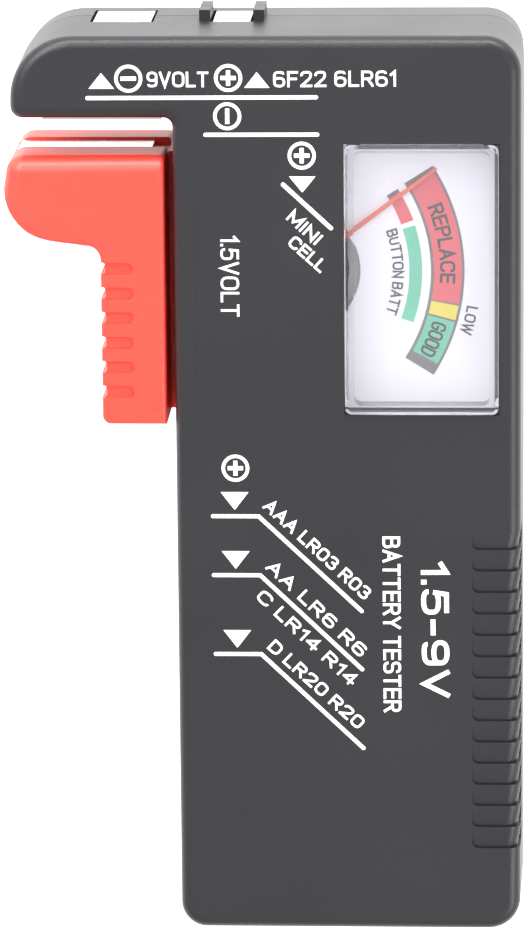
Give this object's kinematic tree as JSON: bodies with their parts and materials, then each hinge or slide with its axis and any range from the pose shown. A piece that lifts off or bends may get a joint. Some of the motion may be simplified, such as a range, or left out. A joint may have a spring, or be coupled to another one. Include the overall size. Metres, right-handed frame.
{
  "type": "battery tester",
  "caption": "Needle battery tester with a fixed jaw, a spring-loaded slider that closes on the cell, a small dial meter and two contacts for a nine-volt battery.",
  "frame": {"origin": "middle of the casing body, without the jaw arm, on its flat back face", "axes": "+X to the right seen from the printed face, +Y along the casing towards the nine-volt contacts, +Z out of the printed face"},
  "size_m": [0.0602, 0.1086, 0.024],
  "materials": {
    "black_abs": "fine satin moulded ABS",
    "red_abs": "satin moulded ABS",
    "zinc_steel": "zinc plated",
    "nickel_strip": "bright nickel plate",
    "spring_steel": "drawn spring wire",
    "tinned_brass": "tinned",
    "brass": "turned",
    "clear_styrene": "clear moulded polystyrene",
    "meter_black": "moulded",
    "dial_white": "printed matt white",
    "soft_iron": "ground",
    "magnet_nickel": "plated",
    "bridge_aluminium": "blanked sheet",
    "bronze": "rolled strip",
    "resistor_lacquer": "dipped lacquer",
    "red_pvc": "extruded insulation",
    "black_pvc": "extruded insulation",
    "copper_wire": "enamelled wire",
    "needle_red": "satin paint"
  },
  "bodies": {
    "casing": {"front_shell": "black_abs", "rear_shell": "black_abs", "casing_screws": "zinc_steel", "return_spring": "spring_steel", "spring_anchor": "tinned_brass", "jaw_contact": "nickel_strip", "nine_volt_negative_contact": "nickel_strip", "nine_volt_positive_contact": "nickel_strip", "meter_cover": "clear_styrene", "meter_base": "meter_black", "meter_dial": "dial_white", "meter_terminals": "tinned_brass", "meter_yoke": "soft_iron", "meter_core_holder": "brass", "meter_magnet": "magnet_nickel", "jewel_screws": "brass", "movement_bridge": "bridge_aluminium", "front_hairspring": "bronze", "rear_hairspring": "bronze", "needle_stops": "brass", "load_resistor": "resistor_lacquer", "series_resistor": "resistor_lacquer", "lead_spring": "red_pvc", "lead_common": "black_pvc", "lead_nine_volt_negative": "black_pvc", "lead_nine_volt_positive": "red_pvc", "lead_meter_positive": "red_pvc"},
    "slider": {"slider": "red_abs", "slider_contact": "nickel_strip"},
    "movement": {"coil_former": "bridge_aluminium", "coil_winding": "copper_wire", "coil_pivots": "spring_steel", "needle": "needle_red", "needle_counterweight": "tinned_brass"}
  },
  "joints": [
    {"name": "slider_slide", "type": "slide", "parent": "casing", "child": "slider", "axis": [0, -1, 0], "range_m": [0, 0.059], "stiffness_N_per_m": 25, "springref_m": -0.012, "deforming": ["return_spring"]},
    {"name": "needle_swing", "type": "hinge", "parent": "casing", "child": "movement", "pos_m": [-0.0058, 0.0254, 0.0138], "axis": [0, 0, 1], "range_deg": [-72, 0], "stiffness_Nm_per_rad": 0.00002, "deforming": ["front_hairspring", "rear_hairspring"]}
  ]
}
